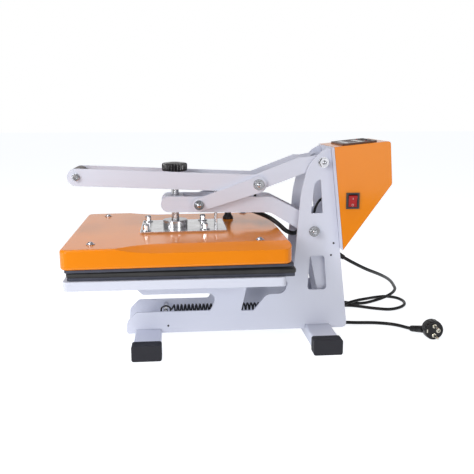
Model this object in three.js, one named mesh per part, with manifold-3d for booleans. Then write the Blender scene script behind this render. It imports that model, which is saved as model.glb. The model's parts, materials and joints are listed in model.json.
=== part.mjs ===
// A clamshell heat press with a toggle handle, drawn in millimetres with +Z up.
// +X is the operator's right, -Y the operator's side and +Y the tower. In the functions below Y = 0 is the
// middle of the lower tray; the whole press is then shifted so that its origin lies under its middle.
import * as THREE from "three";
import { mergeVertices } from "three/addons/utils/BufferGeometryUtils.js";
import Module from "manifold-3d";

const wasm = await Module();
wasm.setup();

// ---------------------------------------------------------------- driving dimensions
const GAP = 0.3; // between pieces that touch
const MIDDLE_SHIFT = 107; // from the middle of the tray to the middle of the whole press

const TRAY = { half: 190, bottom: 149.4, top: 165.4, wall: 2, corner: 8 };
const PAD = { halfX: 186, front: -185, rear: 208, bottom: 171.5, top: 179.7 };
const COVER = { halfX: 191.4, front: -193.5, rear: 200.1, height: 35.1, wall: 2.5, corner: 14, edge: 4.5 };
const PLATEN_BOTTOM = 187.24; // underside of the cover at Y = 0
const PLATEN_TILT = 0.01; // radians, the floating platen rests a little higher at the rear
const SCOOP = { start: -107, full: -30, width: 33, drop: 9 }; // pressed flank along each side of the cover

const PLATE = { outer: 45, thickness: 4, bottom: 20 }; // side plates
const HANDLE = { outer: 39, thickness: 4 };
const ARM = { outer: 34.5, thickness: 4 };
const LINK = { inner: 39.5, thickness: 4 };

const HANDLE_PIVOT = [282.8, 350.5]; // Y, Z of the pivots
const ARM_PIVOT = [268.1, 217.2];
const KNEE = [159, 309.2];
const LINK_FOOT = [45, 271.3];
const GRIP = [-182.6, 326.3];
const SPRING_FRONT = [-23, 52];
const SPRING_REAR = [305, 50];

const TUBE = { width: 50, bottom: 2.5, top: 27.5, reach: 137 }; // cross tubes of the feet
const CAP = { width: 55, height: 30, depth: 24.1, end: 141.2 };
const FEET = { front: -56.4, rear: 279.2 };

const BOX_HALF = 63.4; // control box and back panel, half width
const BOX_TOP = [298.6, 380.3];
const BOX_SLOPE = 0.1; // radians, the top of the box rises to the rear
const SWITCH = [336.8, 278.8];
const ROCKER = { pivot: 60.5, tilt: 0.16 }; // off: the upper half stands out by the tilt, in radians
const CORD_EXIT = [312.5, 168.5]; // middle of the lip that holds the cord's gland
const EXIT_DIRECTION = [0.875, -0.485];

const BOLT = 6; // radius of the pivot bolts
const SPINDLE = 7.25;

// Free mains cord, from the strain relief to the plug: X, Y, Z of its middle line.
const CORD_RADIUS = 3.5;
const CORD_ROUTE = [
  [0, 340.9, 152.7],
  [-2, 357, 143.3],
  [-19, 391, 124],
  [-60, 440, 98],
  [-104, 475, 74],
  [-138, 497, 52],
  [-158, 508, 36],
  [-173, 506, 22],
  [-180, 491, 10.5],
  [-177, 468, 4.3],
  [-160, 434, 3.8],
  [-163, 406, 3.8],
  [-190, 364, 3.8],
  [-207, 325, 3.8],
  [-210, 298, 3.8],
  [-200, 275, 3.8],
  [-178, 266, 3.8],
  [-157, 273, 3.8],
  [-146.5, 293, 3.8],
  [-145.5, 332, 3.8],
  [-144, 398, 3.8],
  [-118, 449, 3.8],
  [-108, 479, 3.8],
  [-119, 507, 3.8],
  [-142, 527, 3.8],
  [-170, 533, 3.8],
  [-195, 525, 3.8],
  [-208, 504, 3.8],
  [-204, 480, 3.9],
  [-173, 441, 9.6],
  [-156, 417, 11.9],
  [-140, 391, 10.8],
  [-118, 352, 4.2],
  [-95, 326, 3.8],
  [-63, 316, 3.8],
  [-36, 333, 3.8],
  [-26, 370, 3.8],
  [-19, 422, 3.8],
  [-5, 455, 3.9],
  [32.3, 476.1, 7.9],
];
// Heater lead, held by the gland on the cover and by the hole in the back panel.
const LEAD_RADIUS = 4.3;
const LEAD_ROUTE = [
  [-81, 110, 238.4],
  [-79, 112, 252],
  [-68, 124, 260],
  [-48, 143, 252],
  [-26, 159, 247],
  [-4, 175, 243],
  [13, 188, 238],
  [23, 202, 228],
  [24, 217, 215],
  [17, 233, 209],
  [7, 247, 215],
  [1, 257, 229],
  [0, 274.5, 243],
  [0, 279.5, 258],
  [0, 286, 270],
  [0, 297, 277],
  [0, 311, 279.5],
  [0, 327, 280],
];

// ---------------------------------------------------------------- materials
const paint = (color, roughness) => new THREE.MeshStandardMaterial({ color, roughness, metalness: 0 });
const WHITE = paint(0xdcdce8, 0.45);
const ORANGE = paint(0xf08c1e, 0.25);
const RUBBER = paint(0x2c2c31, 0.8);
const PLASTIC = paint(0x1c1c1e, 0.5);
const BOARD = paint(0x2f2622, 0.7);
const WOOL = paint(0xd8d2c0, 0.95);
const RED = paint(0xc8102a, 0.3);
const GLASS = paint(0x20242c, 0.1);
const GREEN = paint(0x1f5f3c, 0.6);
const STEEL = new THREE.MeshStandardMaterial({ color: 0xc4c6ca, roughness: 0.25, metalness: 1 });
const ALUMINIUM = new THREE.MeshStandardMaterial({ color: 0x55585f, roughness: 0.4, metalness: 1 });

// ---------------------------------------------------------------- solids
function solid(geometry) {
  const flat = geometry.index ? geometry.toNonIndexed() : geometry;
  const bare = new THREE.BufferGeometry();
  bare.setAttribute("position", flat.getAttribute("position"));
  const merged = mergeVertices(bare, 1e-4);
  const vertProperties = merged.attributes.position.array;
  const triVerts = new Uint32Array(merged.index.array);
  return new wasm.Manifold(new wasm.Mesh({ numProp: 3, vertProperties, triVerts }));
}

function geometryOf(manifold) {
  const mesh = manifold.getMesh();
  const geometry = new THREE.BufferGeometry();
  geometry.setAttribute("position", new THREE.BufferAttribute(mesh.vertProperties, 3));
  geometry.setIndex(new THREE.BufferAttribute(mesh.triVerts, 1));
  geometry.computeVertexNormals();
  return geometry;
}

const cut = (base, ...tools) =>
  geometryOf(tools.reduce((made, tool) => made.subtract(solid(tool)), solid(base)));
const join = (base, ...others) =>
  geometryOf(others.reduce((made, other) => made.add(solid(other)), solid(base)));

// ---------------------------------------------------------------- outlines
// Corners are [a, b, radius]; each corner with a radius becomes an arc.
function rounded(corners, perQuarter = 4) {
  const points = [];
  const at = (corner) => new THREE.Vector2(corner[0], corner[1]);
  corners.forEach((corner, i) => {
    const radius = corner[2] ?? 0;
    const here = at(corner);
    if (!radius) {
      points.push(here);
      return;
    }
    const before = at(corners.at(i - 1)).sub(here).normalize();
    const after = at(corners[(i + 1) % corners.length]).sub(here).normalize();
    const half = before.angleTo(after) / 2;
    const inward = before.clone().add(after).normalize();
    const centre = here.clone().addScaledVector(inward, radius / Math.sin(half));
    const first = here.clone().addScaledVector(before, radius / Math.tan(half)).sub(centre);
    const last = here.clone().addScaledVector(after, radius / Math.tan(half)).sub(centre);
    let sweep = last.angle() - first.angle();
    if (sweep > Math.PI) sweep -= 2 * Math.PI;
    if (sweep < -Math.PI) sweep += 2 * Math.PI;
    const steps = Math.max(1, Math.ceil((Math.abs(sweep) / (Math.PI / 2)) * perQuarter));
    for (let k = 0; k <= steps; k++) {
      const angle = first.angle() + (sweep * k) / steps;
      const spoke = new THREE.Vector2(Math.cos(angle), Math.sin(angle));
      points.push(centre.clone().addScaledVector(spoke, radius));
    }
  });
  return points;
}

function circle([a, b], radius, sides = 16) {
  return Array.from({ length: sides }, (_, i) => {
    const angle = (2 * Math.PI * i) / sides;
    return new THREE.Vector2(a + radius * Math.cos(angle), b + radius * Math.sin(angle));
  });
}

const box2 = (a0, b0, a1, b1, r = 0) => [[a0, b0, r], [a1, b0, r], [a1, b1, r], [a0, b1, r]];

function shapeOf(outline, holes = []) {
  const shape = new THREE.Shape(outline);
  shape.holes = holes.map((hole) => new THREE.Path(hole));
  return shape;
}

// An outline in Y and Z, extruded along X from x0 to x1.
function acrossX(outline, x0, x1, holes) {
  const geometry = new THREE.ExtrudeGeometry(shapeOf(outline, holes), { depth: x1 - x0, bevelEnabled: false });
  const axes = [new THREE.Vector3(0, 1, 0), new THREE.Vector3(0, 0, 1), new THREE.Vector3(1, 0, 0)];
  return geometry.applyMatrix4(new THREE.Matrix4().makeBasis(...axes)).translate(x0, 0, 0);
}

// An outline in X and Y, extruded along Z from z0 to z1.
function upright(outline, z0, z1, holes) {
  const settings = { depth: z1 - z0, bevelEnabled: false };
  return new THREE.ExtrudeGeometry(shapeOf(outline, holes), settings).translate(0, 0, z0);
}

// A plain block, whose edges are straight.
function block(x0, x1, y0, y1, z0, z1) {
  const geometry = new THREE.BoxGeometry(x1 - x0, y1 - y0, z1 - z0);
  return geometry.translate((x0 + x1) / 2, (y0 + y1) / 2, (z0 + z1) / 2);
}

const rodX = (centre, radius, x0, x1, sides = 20) => acrossX(circle(centre, radius, sides), x0, x1);
const rodZ = (centre, radius, z0, z1, sides = 20) => upright(circle(centre, radius, sides), z0, z1);
const tubeX = (centre, outer, inner, x0, x1, sides = 20) =>
  acrossX(circle(centre, outer, sides), x0, x1, [circle(centre, inner, sides)]);

// A turned piece around the line from a point along a direction; the profile is [distance along, radius].
function turned(point, direction, profile, sides = 20) {
  const outline = profile.map(([along, radius]) => new THREE.Vector2(radius, along));
  const geometry = new THREE.LatheGeometry(outline, sides);
  const turn = new THREE.Quaternion().setFromUnitVectors(
    new THREE.Vector3(0, 1, 0),
    new THREE.Vector3(...direction).normalize(),
  );
  return geometry.applyQuaternion(turn).translate(...point);
}

// A round bar around that line, between two distances from the point.
const rodAlong = (point, direction, radius, from, to, sides = 16) =>
  turned(point, direction, [[from, 0], [from, radius], [to, radius], [to, 0]], sides);

// A round section swept along a smooth curve through the points.
function sweep(route, radius, steps, sides) {
  const path = new THREE.CatmullRomCurve3(route.map((p) => new THREE.Vector3(...p)), false, "centripetal");
  const section = new THREE.Shape(circle([0, 0], radius, sides));
  return new THREE.ExtrudeGeometry(section, { steps, extrudePath: path });
}

// Sections with the same number of points, joined one after the other into a closed solid.
function loft(sections) {
  const n = sections[0].length;
  const index = [];
  for (let s = 0; s + 1 < sections.length; s++)
    for (let i = 0; i < n; i++) {
      const a = s * n + i;
      const b = s * n + ((i + 1) % n);
      index.push(a, b, b + n, a, b + n, a + n);
    }
  const end = (sections.length - 1) * n;
  for (let i = 1; i + 1 < n; i++) {
    index.push(0, i + 1, i);
    index.push(end, end + i, end + i + 1);
  }
  const geometry = new THREE.BufferGeometry();
  geometry.setAttribute("position", new THREE.Float32BufferAttribute(sections.flat(2), 3));
  geometry.setIndex(index);
  return geometry;
}

// ---------------------------------------------------------------- scene graph
const press = new THREE.Group();
press.position.y = -MIDDLE_SHIFT;

function add(name, geometry, material, group = press) {
  const mesh = new THREE.Mesh(geometry, material);
  mesh.name = name;
  group.add(mesh);
}

// Calls make("right", 1) and make("left", -1), for pieces that come in pairs.
function bothSides(make) {
  make("right", 1);
  make("left", -1);
}

const span = (side, inner, outer) => (side > 0 ? [inner, outer] : [-outer, -inner]);

// ---------------------------------------------------------------- frame
// Each side plate is one sheet: foot rail, slot, arm under the tray, and tower.
function sidePlates() {
  const notch = (middle) => [
    [middle + TUBE.width / 2 + 0.5, PLATE.bottom],
    [middle + TUBE.width / 2 + 0.5, TUBE.top + 0.5],
    [middle - TUBE.width / 2 - 0.5, TUBE.top + 0.5],
    [middle - TUBE.width / 2 - 0.5, PLATE.bottom],
  ];
  const outline = rounded([
    [296, 379.3, 4],
    [281, 373, 22],
    [253.5, 346, 50],
    [240.5, 290, 90],
    [230, 158, 8],
    [229.3, TRAY.bottom - GAP, 1],
    [-76, TRAY.bottom - GAP],
    [-76, 108, 3],
    [-66, 98, 3],
    [81, 98, 14],
    [65, 62.5, 6],
    [-79, 62.5, 8],
    [-97, 44, 8],
    [-99, PLATE.bottom, 5],
    ...notch(FEET.front).reverse(),
    ...notch(FEET.rear).reverse(),
    [337.5, PLATE.bottom, 8],
    [337.3, 33, 20],
  ]);
  const towerWindow = rounded([
    [260.4, 168.2, 6],
    [257, 99.8, 6],
    [295.7, 99.8, 6],
    [289.2, 168.2, 6],
  ]);
  const upperWindow = rounded([
    [278.4, 321, 3],
    [266, 310, 12],
    [260.8, 252.6, 2],
    [284.2, 252.6, 2],
  ]);
  const postWindow = rounded([
    [138.5, 118, 4],
    [125.3, 60.5, 1],
    [150, 60.5, 1],
    [176, 92.5, 16],
    [211, 94, 14],
    [219, 118, 4],
  ]);
  const bolts = [HANDLE_PIVOT, ARM_PIVOT].map((pivot) => circle(pivot, BOLT + 0.5));
  bothSides((name, side) => {
    const holes = [towerWindow, upperWindow, ...bolts];
    if (side > 0) holes.push(postWindow);
    const [x0, x1] = span(side, PLATE.outer - PLATE.thickness, PLATE.outer);
    add(`side_plate_${name}`, acrossX(outline, x0, x1, holes), WHITE);
  });
}

function feet() {
  Object.entries(FEET).forEach(([end, middle]) => {
    const half = TUBE.width / 2;
    const outline = rounded(box2(middle - half, TUBE.bottom, middle + half, TUBE.top, 3), 2);
    const bore = rounded(box2(middle - half + 2, TUBE.bottom + 2, middle + half - 2, TUBE.top - 2, 1), 1);
    add(`${end}_foot_tube`, acrossX(outline, -TUBE.reach, TUBE.reach, [bore]), WHITE);
    bothSides((name, side) => {
      const outer = rounded(box2(middle - CAP.width / 2, 0, middle + CAP.width / 2, CAP.height, 4), 3);
      const socket = rounded(box2(middle - half - GAP, 2.2, middle + half + GAP, 27.8, 3), 2);
      const [x0, x1] = span(side, CAP.end - CAP.depth, CAP.end);
      const [s0, s1] = span(side, CAP.end - CAP.depth - 1, TUBE.reach + GAP);
      add(`foot_cap_${end}_${name}`, cut(acrossX(outer, x0, x1), acrossX(socket, s0, s1)), RUBBER);
    });
  });
}

// Sheet behind the tower, with a folded lip at the bottom that carries the cord's gland.
function backPanel() {
  const sheet = rounded([
    [319.95, 182],
    [321.55, 182.2],
    [298.2, 379.9],
    [296.6, 379.7],
  ]);
  const lip = [
    [321.55, 182.3],
    [319.95, 182.4],
    [305.4, 156.4],
    [306.8, 155.6],
  ];
  const gland = rodAlong([0, ...CORD_EXIT], [0, ...EXIT_DIRECTION], 7, -10, 10);
  const grommet = rodAlong([0, 308.5, 279.2], [0, 1, 0.1], 6, -9, 9);
  const panel = join(acrossX(sheet, -BOX_HALF, BOX_HALF), acrossX(rounded(lip), -26, 26));
  add("back_panel", cut(panel, gland, grommet), WHITE);
}

// Three cross members hold the side plates together under the tray.
function crossMembers() {
  const inside = PLATE.outer - PLATE.thickness - GAP;
  const top = TRAY.bottom - GAP;
  const wall = 3;
  const channel = (y0, y1) => {
    const bar = block(-inside, inside, y0, y1, top - 12, top);
    return cut(bar, block(-inside - 1, inside + 1, y0 + wall, y1 - wall, top - 13, top - wall));
  };
  add("tray_crossbar_front", channel(-68, -28), WHITE);
  add("tray_crossbar_rear", channel(112, 152), WHITE);
  add("spring_anchor_pin", rodX(SPRING_FRONT, 5, -inside, inside), STEEL);
}

function lowerPlaten() {
  const half = TRAY.half;
  const inner = half - TRAY.wall;
  const outer = upright(rounded(box2(-half, -half, half, half, TRAY.corner)), TRAY.bottom, TRAY.top);
  const floor = TRAY.top - TRAY.wall;
  const inside = upright(rounded(box2(-inner, -inner, inner, inner, 6)), TRAY.bottom - 5, floor);
  add("lower_tray", cut(outer, inside), WHITE);
  const slab = (inset, z0, z1) => {
    const x = PAD.halfX - inset;
    return upright(rounded(box2(-x, PAD.front + inset, x, PAD.rear - inset, 6), 3), z0, z1);
  };
  add("pad_board", slab(1.5, TRAY.top + GAP, PAD.bottom - GAP), BOARD);
  add("silicone_pad", slab(0, PAD.bottom, PAD.top), RUBBER);
}

// A bolt across the press, with its head on the right and its nut, threaded onto it, on the left.
function pivotBolt(name, centre) {
  const face = PLATE.outer + GAP;
  const shank = rodX(centre, BOLT, -(face + 10), face + 2, 16);
  const ends = [];
  bothSides((_, side) => {
    ends.push(rodX(centre, 10.5, ...span(side, face, face + 1.8), 24));
    ends.push(rodX(centre, 9, ...span(side, face + 1.5, face + 7.5), 6));
  });
  add(name, join(shank, ...ends), STEEL);
}

// ---------------------------------------------------------------- control box
function controlBox() {
  const outer = [BOX_TOP, [406.2, 391.1, 5], [412.7, 310.1, 6], [321.9, 183]];
  const inner = [[290, 377.8], [404.9, 389.2], [411, 310.6], [318, 180.2]];
  const shell = acrossX(rounded(outer), -BOX_HALF, BOX_HALF);
  const hollow = acrossX(rounded(inner), -BOX_HALF + 1.5, BOX_HALF - 1.5);
  const [y, z] = SWITCH;
  const hole = block(BOX_HALF - 3, BOX_HALF + 3, y - 11, y + 11, z - 14, z + 14);
  add("control_box", cut(shell, hollow, hole), ORANGE);
  add("control_board", block(-45, 20, 326, 328, 290, 366), GREEN);
  add("relay", block(28, 56, 326, 350, 318, 362), PLASTIC);
}

// The controller's face lies on the sloping top of the box.
function controller() {
  const group = new THREE.Group();
  group.position.set(0, ...BOX_TOP);
  group.rotation.x = BOX_SLOPE;
  press.add(group);
  const keys = [26, 0, -26].map((x) => [x, 76]);
  const bezel = upright(rounded(box2(-50, 20, 50, 86.5, 4), 3), GAP, 3.1);
  const pocket = upright(rounded(box2(-40, 28, 40, 66, 2), 2), 1.6, 5);
  const wells = keys.map((key) => rodZ(key, 6.3, -1, 6));
  add("controller_bezel", cut(bezel, pocket, ...wells), PLASTIC, group);
  add("display", upright(rounded(box2(-39.6, 28.4, 39.6, 65.6, 2), 2), 1.9, 2.8), GLASS, group);
  ["key_set", "key_up", "key_down"].forEach((name, i) => {
    add(name, rodZ(keys[i], 5.7, 1.6, 4.2), RUBBER, group);
  });
}

function powerSwitch() {
  const [y, z] = SWITCH;
  const face = BOX_HALF + GAP;
  const frame = block(face, face + 2, y - 12.75, y + 12.75, z - 15.4, z + 15.4);
  const body = block(46, face + 0.5, y - 10.5, y + 10.5, z - 13.5, z + 13.5);
  const well = block(50, face + 5, y - 8.6, y + 8.6, z - 12.1, z + 12.1);
  add("switch_bezel", cut(join(frame, body), well), PLASTIC);
  const group = new THREE.Group();
  group.position.set(ROCKER.pivot, y, z);
  group.rotation.y = ROCKER.tilt;
  press.add(group);
  const profile = [[-5, -3.5], [0, -10.9], [6.2, -10.9], [4.4, 0], [6.2, 10.9], [0, 10.9], [-5, 3.5]];
  const rocker = new THREE.ExtrudeGeometry(
    new THREE.Shape(profile.map(([x, up]) => new THREE.Vector2(x, up))),
    { depth: 16.4, bevelEnabled: false },
  );
  rocker.rotateX(Math.PI / 2).translate(0, 8.2, 0);
  add("rocker", rocker, RED, group);
}

// The cord leaves through a gland with a tapered neck, and ends in a plug that lies on its side.
function mainsCord() {
  const nut = [[-6, 0], [-6, 9.5], [-0.7, 9.5], [-0.7, 6.5]];
  const neck = [[1.9, 6.5], [1.9, 9.5], [7, 9], [8, 7.5], [32, 4.6], [32, 0]];
  add("cord_gland", turned([0, ...CORD_EXIT], [0, ...EXIT_DIRECTION], [...nut, ...neck], 18), PLASTIC);
  add("power_cord", sweep(CORD_ROUTE, CORD_RADIUS, 80, 8), PLASTIC);
  const rim = [506, 19.8];
  const body = turned([54, ...rim], [1, 0, 0], [[0, 0], [0, 14], [6, 18], [12, 19.5], [30, 19.5], [30, 0]], 24);
  const taper = [[0, 0], [0, 7.4], [29, 6.5], [34, 4.6], [34, 0]];
  const relief = turned([62, 492, 16], [-0.852, -0.456, -0.232], taper, 14);
  const pins = [-9.5, 9.5].map((up) => rodX([rim[0], rim[1] + up], 2.4, 80, 103, 10));
  add("plug", join(body, relief, ...pins), PLASTIC);
}

// ---------------------------------------------------------------- clamping arm
function armPlates() {
  const lever = new THREE.Vector2(SPRING_REAR[0] - ARM_PIVOT[0], SPRING_REAR[1] - ARM_PIVOT[1]).normalize();
  const beside = new THREE.Vector2(-lever.y, lever.x).multiplyScalar(15.5);
  const end = new THREE.Vector2(...SPRING_REAR).addScaledVector(lever, 15.5);
  const outline = rounded([
    [-27.2, 287.6, 15],
    [187, 284.5, 25],
    [279, 237, 16],
    [ARM_PIVOT[0] + beside.x + 1, 214, 20],
    [end.x + beside.x, end.y + beside.y, 15],
    [end.x - beside.x, end.y - beside.y, 15],
    [ARM_PIVOT[0] - beside.x + 0.5, 211, 12],
    [183, 254.2, 25],
    [-27.2, 257.2, 15],
  ]);
  bothSides((name, side) => {
    const [x0, x1] = span(side, ARM.outer - ARM.thickness, ARM.outer);
    const holes = [circle(ARM_PIVOT, 11.5, 20), circle(SPRING_REAR, BOLT + 0.5), circle(LINK_FOOT, BOLT + 0.3)];
    add(`arm_plate_${name}`, acrossX(outline, x0, x1, holes), WHITE);
  });
  const reach = PLATE.outer - PLATE.thickness - GAP;
  add("arm_pivot_tube", tubeX(ARM_PIVOT, 11, BOLT + 0.6, -reach, reach), STEEL);
  add("spring_pin", rodX(SPRING_REAR, BOLT, -ARM.outer, ARM.outer), STEEL);
}

function armBlocks() {
  const inside = ARM.outer - ARM.thickness - GAP;
  const seat = block(-inside, inside, -20, 16, 259, 286.3);
  add("spindle_block", cut(seat, rodZ([0, 0], SPINDLE + 0.6, 250, 300)), WHITE);
  const bar = block(-inside, inside, 66, 92, 270, 279);
  add("guide_bar", cut(bar, rodZ([0, 79], 4.2, 260, 290)), WHITE);
  const head = ARM.outer + 15;
  bothSides((name, side) => {
    const at = (a, b) => span(side, a, b);
    const link = LINK.inner + LINK.thickness;
    const pin = join(
      rodX(LINK_FOOT, 5.7, ...at(24, head), 16),
      rodX(LINK_FOOT, 8.6, ...at(ARM.outer + GAP, LINK.inner - GAP), 20),
      rodX(LINK_FOOT, 9.5, ...at(link + GAP, link + 2), 24),
      rodX(LINK_FOOT, 7.6, ...at(link + 1.8, head), 6),
    );
    add(`link_bolt_${name}`, pin, STEEL);
  });
}

// The link's outline narrows from the knee to its foot on the arm.
function linkOutline() {
  const kneeRadius = 15.5;
  const footRadius = 12.5;
  const knee = new THREE.Vector2(...KNEE);
  const foot = new THREE.Vector2(...LINK_FOOT);
  const along = knee.clone().sub(foot);
  const lean = Math.acos((kneeRadius - footRadius) / along.length());
  const steps = 10;
  const arc = (centre, radius, from, to) =>
    Array.from({ length: steps + 1 }, (_, i) => {
      const angle = from + ((to - from) * i) / steps;
      return new THREE.Vector2(centre.x + radius * Math.cos(angle), centre.y + radius * Math.sin(angle));
    });
  const heading = along.angle();
  return [
    ...arc(knee, kneeRadius, heading - Math.PI + lean, heading + Math.PI - lean),
    ...arc(foot, footRadius, heading + Math.PI - lean, heading + Math.PI + lean),
  ];
}

function links() {
  bothSides((name, side) => {
    const [x0, x1] = span(side, LINK.inner, LINK.inner + LINK.thickness);
    const holes = [circle(LINK_FOOT, 6.2), circle(KNEE, 6.2)];
    add(`link_${name}`, acrossX(linkOutline(), x0, x1, holes), WHITE);
    const top = LINK.inner + LINK.thickness;
    const bolt = join(
      rodX(KNEE, 5.7, ...span(side, LINK.inner, top + 1), 16),
      rodX(KNEE, 10.5, ...span(side, top + GAP, top + 2), 24),
      rodX(KNEE, 8.2, ...span(side, top + 1.8, top + 8), 6),
    );
    add(`knee_bolt_${name}`, bolt, STEEL);
  });
}

// ---------------------------------------------------------------- handle
function handle() {
  const outline = rounded([
    [GRIP[0] - 16, GRIP[1] + 16.3, 15.9],
    [152, 327.8, 10],
    [238, 360.4, 8],
    [251.2, 360.4, 8],
    [296.1, 368, 15],
    [300.3, 337.2, 15],
    [248.2, 329.8, 20],
    [151, 294.6, 10],
    [GRIP[0] - 16, GRIP[1] - 15.9, 15.9],
  ]);
  const inside = HANDLE.outer - HANDLE.thickness - GAP;
  bothSides((name, side) => {
    const [x0, x1] = span(side, HANDLE.outer - HANDLE.thickness, HANDLE.outer);
    const holes = [circle(HANDLE_PIVOT, 11.5, 20), circle(KNEE, 6.5), circle(GRIP, 6)];
    add(`handle_bar_${name}`, acrossX(outline, x0, x1, holes), WHITE);
  });
  const reach = PLATE.outer - PLATE.thickness - GAP;
  add("handle_pivot_tube", tubeX(HANDLE_PIVOT, 11, BOLT + 0.6, -reach, reach), STEEL);
  const end = HANDLE.outer - 0.2;
  add("knee_spacer", join(rodX(KNEE, 9, -inside, inside), rodX(KNEE, 6, -end, end, 16)), STEEL);
  const rod = join(
    rodX(GRIP, 5.4, -HANDLE.outer - 1, HANDLE.outer + 1, 16),
    rodX(GRIP, 7, HANDLE.outer + GAP, HANDLE.outer + 4, 12),
    rodX(GRIP, 7, -HANDLE.outer - 4, -HANDLE.outer - GAP, 12),
  );
  add("grip_rod", rod, STEEL);
  add("grip_sleeve", tubeX(GRIP, 15.5, 6, -inside, inside, 24), BOARD);
}

// ---------------------------------------------------------------- upper platen
// Cuts one flank of the cover: it starts as a point behind the front corner and widens to its full size.
function scoopCutter(side) {
  const { start, full, width, drop } = SCOOP;
  const growth = [0, 0.04, 0.15, 0.35, 0.6, 0.85, 1];
  const stations = growth.map((t) => [start + (full - start) * t, Math.sin((t * Math.PI) / 2)]);
  stations.push([COVER.rear + 10, 1]);
  const sections = stations.map(([y, part]) => {
    const reach = 0.5 + width * part;
    const depth = 0.2 + drop * part;
    const slope = depth / reach;
    const xi = COVER.halfX - reach;
    const xo = COVER.halfX + 3;
    const top = COVER.height;
    const corners = [[xi, top], [xo, top - slope * (xo - xi)], [xo, top + 6], [xi, top + 6]];
    return corners.map(([x, z]) => [side * x, y, z]);
  });
  return loft(side < 0 ? sections : sections.map((section) => section.reverse()));
}

function coverShell() {
  const { halfX, front, rear, height, wall, corner, edge } = COVER;
  const inset = rounded(box2(-halfX + edge, front + edge, halfX - edge, rear - edge, corner - edge));
  const bevel = { depth: height - 2 * edge, bevelSize: edge, bevelThickness: edge, bevelSegments: 3 };
  const outer = new THREE.ExtrudeGeometry(shapeOf(inset), bevel).translate(0, 0, edge);
  const room = rounded(box2(-halfX + wall, front + wall, halfX - wall, rear - wall, corner - wall));
  const underFlank = (side) => scoopCutter(side).translate(0, 0, -wall);
  const hollow = cut(upright(room, -5, height - wall), underFlank(1), underFlank(-1));
  return cut(outer, hollow, scoopCutter(1), scoopCutter(-1));
}

function upperPlaten() {
  const group = new THREE.Group();
  group.position.z = PLATEN_BOTTOM;
  group.rotation.x = PLATEN_TILT;
  press.add(group);
  add("platen_cover", coverShell(), ORANGE, group);
  const lip = upright(rounded(box2(-188, -187, 188, 203, 6), 3), -5, -GAP);
  const inside = rounded(box2(-184, -184, 184, 192, 6), 3);
  add("heat_plate", join(lip, upright(inside, -1, 8)), ALUMINIUM, group);
  add("insulation", upright(inside, 8 + GAP, 23.2), WOOL, group);
  const deck = COVER.height + GAP;
  const plate = upright(rounded(box2(-65, -66, 65, 96.5, 3), 2), deck, deck + 3);
  const corners = [[50, -55], [50, 55.5], [-50, -55], [-50, 55.5]];
  const studs = corners.map((corner) => rodZ(corner, 6, deck + 2, deck + 13.5, 12));
  add("mount_plate", join(plate, ...studs), STEEL, group);
  const hub = [[0, 0], [0, 24], [10.8, 24], [12, 22.8], [12, 8.1], [2, 8.1], [2, 0]];
  add("spindle_hub", turned([0, 0, deck + 3 + GAP], [0, 0, 1], hub, 32), STEEL, group);
  const neck = [[0, 0], [0, 11], [4, 11], [10, 7], [13.5, 6.5], [13.5, 0]];
  const gland = turned([-81, 110, deck], [0, 0, 1], neck, 16);
  add("lead_gland", gland, PLASTIC, group);
}

function spindleAndKnob() {
  add("spindle", rodZ([0, 0], SPINDLE, 229, 326.7, 20), STEEL);
  const flutes = 24;
  const corners = flutes * 6;
  const fluted = Array.from({ length: corners }, (_, i) => {
    const angle = (2 * Math.PI * i) / corners;
    const radius = 23.2 + 1.1 * Math.cos(flutes * angle);
    return new THREE.Vector2(radius * Math.cos(angle), radius * Math.sin(angle));
  });
  const collar = rodZ([0, 0], 13.5, 327, 334, 20);
  const crown = turned([0, 0, 347.5], [0, 0, 1], [[0, 0], [0, 21], [1.8, 15.5], [2.8, 6], [3, 0]], 24);
  add("knob", join(upright(fluted, 333.3, 348.5), collar, crown), PLASTIC);
  const rod = join(rodZ([0, 79], 3.2, 226.8, 295, 14), rodZ([0, 79], 5.4, 287.5, 292.5, 6));
  add("guide_rod", rod, STEEL);
}

// ---------------------------------------------------------------- spring and heater lead
// The tension spring's outer shape, with an eye round a pin at each end.
function counterSpring() {
  const axis = [SPRING_REAR[0] - SPRING_FRONT[0], SPRING_REAR[1] - SPRING_FRONT[1]];
  const length = Math.hypot(...axis);
  const along = (...sizes) => rodAlong([0, ...SPRING_FRONT], [0, ...axis], ...sizes);
  const coils = along(12, 15, length - 17, 14);
  const front = tubeX(SPRING_FRONT, 11, 6, -1.5, 1.5, 16);
  const rear = tubeX(SPRING_REAR, 12, 7, -1.5, 1.5, 16);
  const hooks = [along(1.5, 9, 17, 8), along(1.5, length - 19, length - 9, 8)];
  add("counter_spring", join(coils, front, rear, ...hooks), PLASTIC);
}

sidePlates();
feet();
backPanel();
crossMembers();
lowerPlaten();
pivotBolt("handle_pivot_bolt", HANDLE_PIVOT);
pivotBolt("arm_pivot_bolt", ARM_PIVOT);
controlBox();
controller();
powerSwitch();
mainsCord();
armPlates();
armBlocks();
links();
handle();
upperPlaten();
spindleAndKnob();
counterSpring();
add("heater_lead", sweep(LEAD_ROUTE, LEAD_RADIUS, 44, 8), PLASTIC);

export default press;
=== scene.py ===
# The looks of a clamshell heat press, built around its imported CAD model. Everything is in metres, +Z up.
# +X is the operator's right, -Y the operator's side and +Y the tower.
import json
import math
import random

import bmesh
import bpy
from mathutils import Matrix, Quaternion, Vector


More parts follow.
